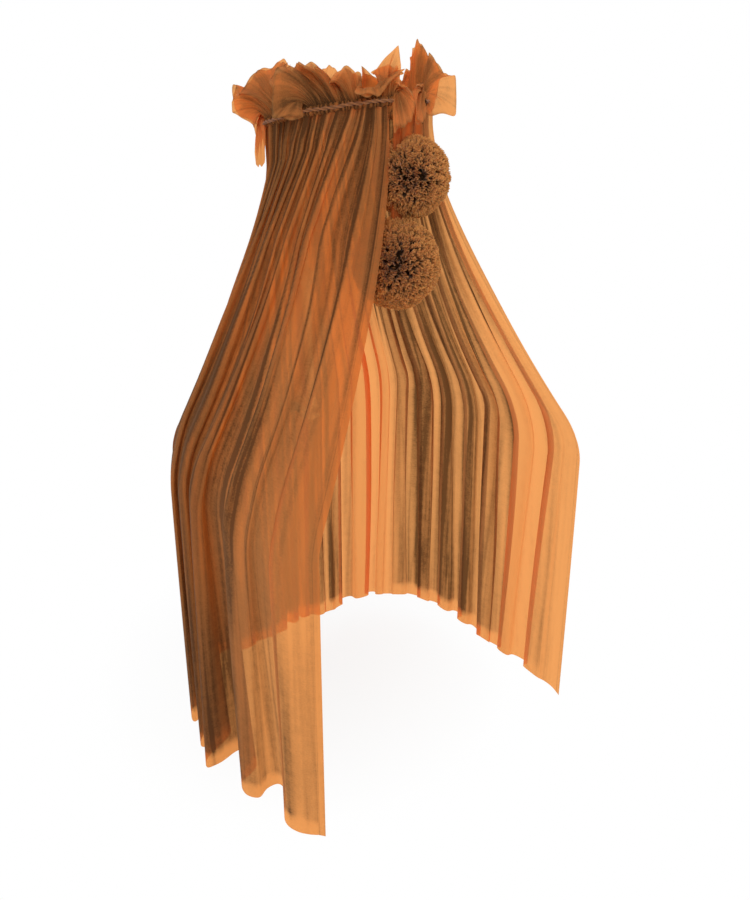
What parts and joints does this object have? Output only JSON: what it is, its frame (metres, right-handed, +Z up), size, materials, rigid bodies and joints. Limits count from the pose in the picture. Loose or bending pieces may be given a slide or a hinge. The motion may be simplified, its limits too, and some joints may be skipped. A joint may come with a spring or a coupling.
{
  "type": "bed crown canopy",
  "caption": "Gathered tulle bed canopy on a wire crown hoop with ruffled header, open front and hanging pompoms, held by a telescopic stand that clamps to a bed rail.",
  "frame": {"origin": "middle of the face of the clamp's fixed jaw pad, which bears on the outer face of the bed rail", "axes": "+Z up, +Y to the back of the canopy, away from its opening, +X to the right of someone who faces the opening"},
  "size_m": [0.9068, 0.7863, 1.6165],
  "materials": {
    "veil_tulle": "sheer fine net, matte",
    "cord_cloth": "twisted cord, matte",
    "pompom_tulle": "ruched net strips, matte",
    "painted_steel": "powder coat, satin",
    "zinc_steel": "zinc plated",
    "white_plastic": "moulded, satin",
    "rubber": "matte"
  },
  "bodies": {
    "stand": {"clamp_bracket": "painted_steel", "jaw_pad": "rubber", "lower_tube": "painted_steel", "height_collar": "white_plastic"},
    "screw_pad": {"pressure_pad": "rubber"},
    "screw": {"clamp_screw": "zinc_steel", "clamp_knob": "white_plastic"},
    "height_lock": {"thumb_screw": "white_plastic"},
    "crown": {"upper_tube": "painted_steel", "tube_plug": "white_plastic", "hoop_holder": "white_plastic", "hoop_screw_left": "zinc_steel", "hoop_screw_right": "zinc_steel", "crown_hoop": "painted_steel", "casing": "veil_tulle", "gathering_cord": "cord_cloth", "header_ruffle_left": "veil_tulle", "header_ruffle_right": "veil_tulle", "veil_front_left": "veil_tulle", "veil_back_left": "veil_tulle", "veil_back_right": "veil_tulle", "veil_front_right": "veil_tulle", "edge_tape_left": "veil_tulle", "edge_tape_right": "veil_tulle"},
    "pompoms": {"upper_pompom_strap": "pompom_tulle", "lower_pompom_strap_1": "pompom_tulle", "lower_pompom_strap_2": "pompom_tulle", "lower_pompom_strap_3": "pompom_tulle", "pompom_upper": "pompom_tulle", "pompom_lower": "pompom_tulle"}
  },
  "joints": [
    {"name": "crown_height", "type": "slide", "parent": "stand", "child": "crown", "axis": [0, 0, 1], "range_m": [0, 0.12]},
    {"name": "pompoms_swing", "type": "hinge", "parent": "crown", "child": "pompoms", "pos_m": [0.05587, -0.38554, 0.73267], "axis": [0.9826, 0.184, 0.0252], "range_deg": [-12, 12]},
    {"name": "pad_travel", "type": "slide", "parent": "stand", "child": "screw_pad", "axis": [0, -1, 0], "range_m": [0, 0.0112]},
    {"name": "screw_turn", "type": "hinge", "parent": "screw_pad", "child": "screw", "pos_m": [0, -0.06, 0], "axis": [0, -1, 0], "range_deg": [0, 2880]},
    {"name": "lock_turn", "type": "hinge", "parent": "stand", "child": "height_lock", "pos_m": [0, -0.1122, 0.3688], "axis": [0, -1, 0], "range_deg": [0, 360]}
  ],
  "couplings": [
    {"joint": "pad_travel", "follows": "screw_turn", "m_per_rad": 0.00019894}
  ]
}
